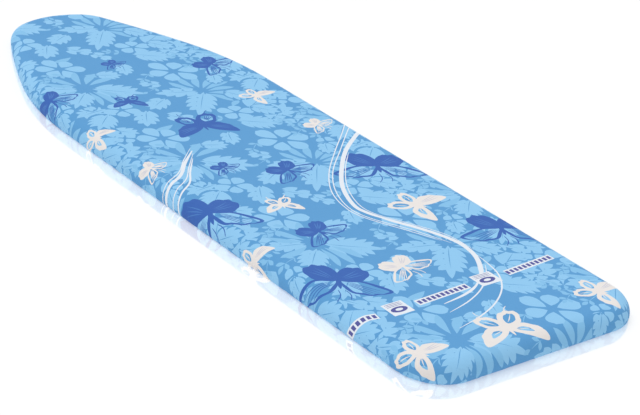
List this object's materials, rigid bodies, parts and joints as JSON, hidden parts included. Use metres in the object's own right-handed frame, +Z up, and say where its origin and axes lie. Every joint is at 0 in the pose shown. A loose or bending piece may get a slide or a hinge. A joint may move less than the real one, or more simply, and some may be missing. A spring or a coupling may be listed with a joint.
{
  "type": "ironing and folding board top",
  "caption": "Long tapered board with rounded nose and squared heel: padded printed cotton cover over a pressed steel deck, with leg rails, pivots and a sprung release lever beneath.",
  "frame": {"origin": "middle of the footprint, on the surface the board lies on", "axes": "+X from the nose to the squared heel, +Y across the board, +Z up through the ironing surface"},
  "size_m": [1.2, 0.38, 0.028],
  "materials": {
    "cover_cotton": "printed cotton, matt, fine plain weave",
    "hem_tape": "woven cotton tape, matt",
    "foam": "open-cell foam, matt",
    "felt": "needled polyester felt, matt",
    "elastic": "braided elastic, matt",
    "deck_paint": "powder coat, satin",
    "zinc_steel": "zinc plated, satin",
    "bright_steel": "turned steel, satin",
    "spring_steel": "drawn wire, bright",
    "grey_plastic": "moulded, fine texture",
    "blue_plastic": "moulded, fine texture"
  },
  "bodies": {
    "board": {"printed_cover": "cover_cotton", "hem_binding": "hem_tape", "foam_pad": "foam", "felt_pad": "felt", "elastic_cord": "elastic", "steel_deck": "deck_paint", "rim_frame": "deck_paint", "nose_brace": "deck_paint", "middle_brace": "deck_paint", "heel_brace": "deck_paint", "left_rail": "zinc_steel", "right_rail": "zinc_steel", "height_rack": "zinc_steel", "keeper_clips": "zinc_steel", "left_pivot_bracket": "zinc_steel", "right_pivot_bracket": "zinc_steel", "lever_bracket": "zinc_steel", "lever_pin": "bright_steel", "return_spring": "spring_steel", "rail_rivets": "bright_steel", "bracket_rivets": "bright_steel", "rack_rivets": "bright_steel", "guide_screws": "bright_steel", "lever_rivets": "bright_steel", "left_pivot_bushes": "grey_plastic", "right_pivot_bushes": "grey_plastic", "nose_rod_guide": "grey_plastic", "heel_rod_guide": "grey_plastic", "rail_caps": "grey_plastic"},
    "lock": {"lock_plate": "zinc_steel", "pull_rod": "bright_steel", "spring_collar": "bright_steel"},
    "lever": {"release_lever": "zinc_steel", "lever_grip": "blue_plastic"}
  },
  "joints": [
    {"name": "lever_turn", "type": "hinge", "parent": "board", "child": "lever", "pos_m": [0.34, -0.045, 0.00375], "axis": [0, 0, 1], "range_deg": [0, 15], "stiffness_Nm_per_rad": 0.6, "springref_deg": -2.86, "deforming": ["return_spring"]},
    {"name": "lock_slide", "type": "slide", "parent": "board", "child": "lock", "axis": [-1, 0, 0], "range_m": [0, 0.0121]}
  ],
  "couplings": [
    {"joint": "lock_slide", "follows": "lever_turn", "m_per_rad": 0.045837}
  ]
}
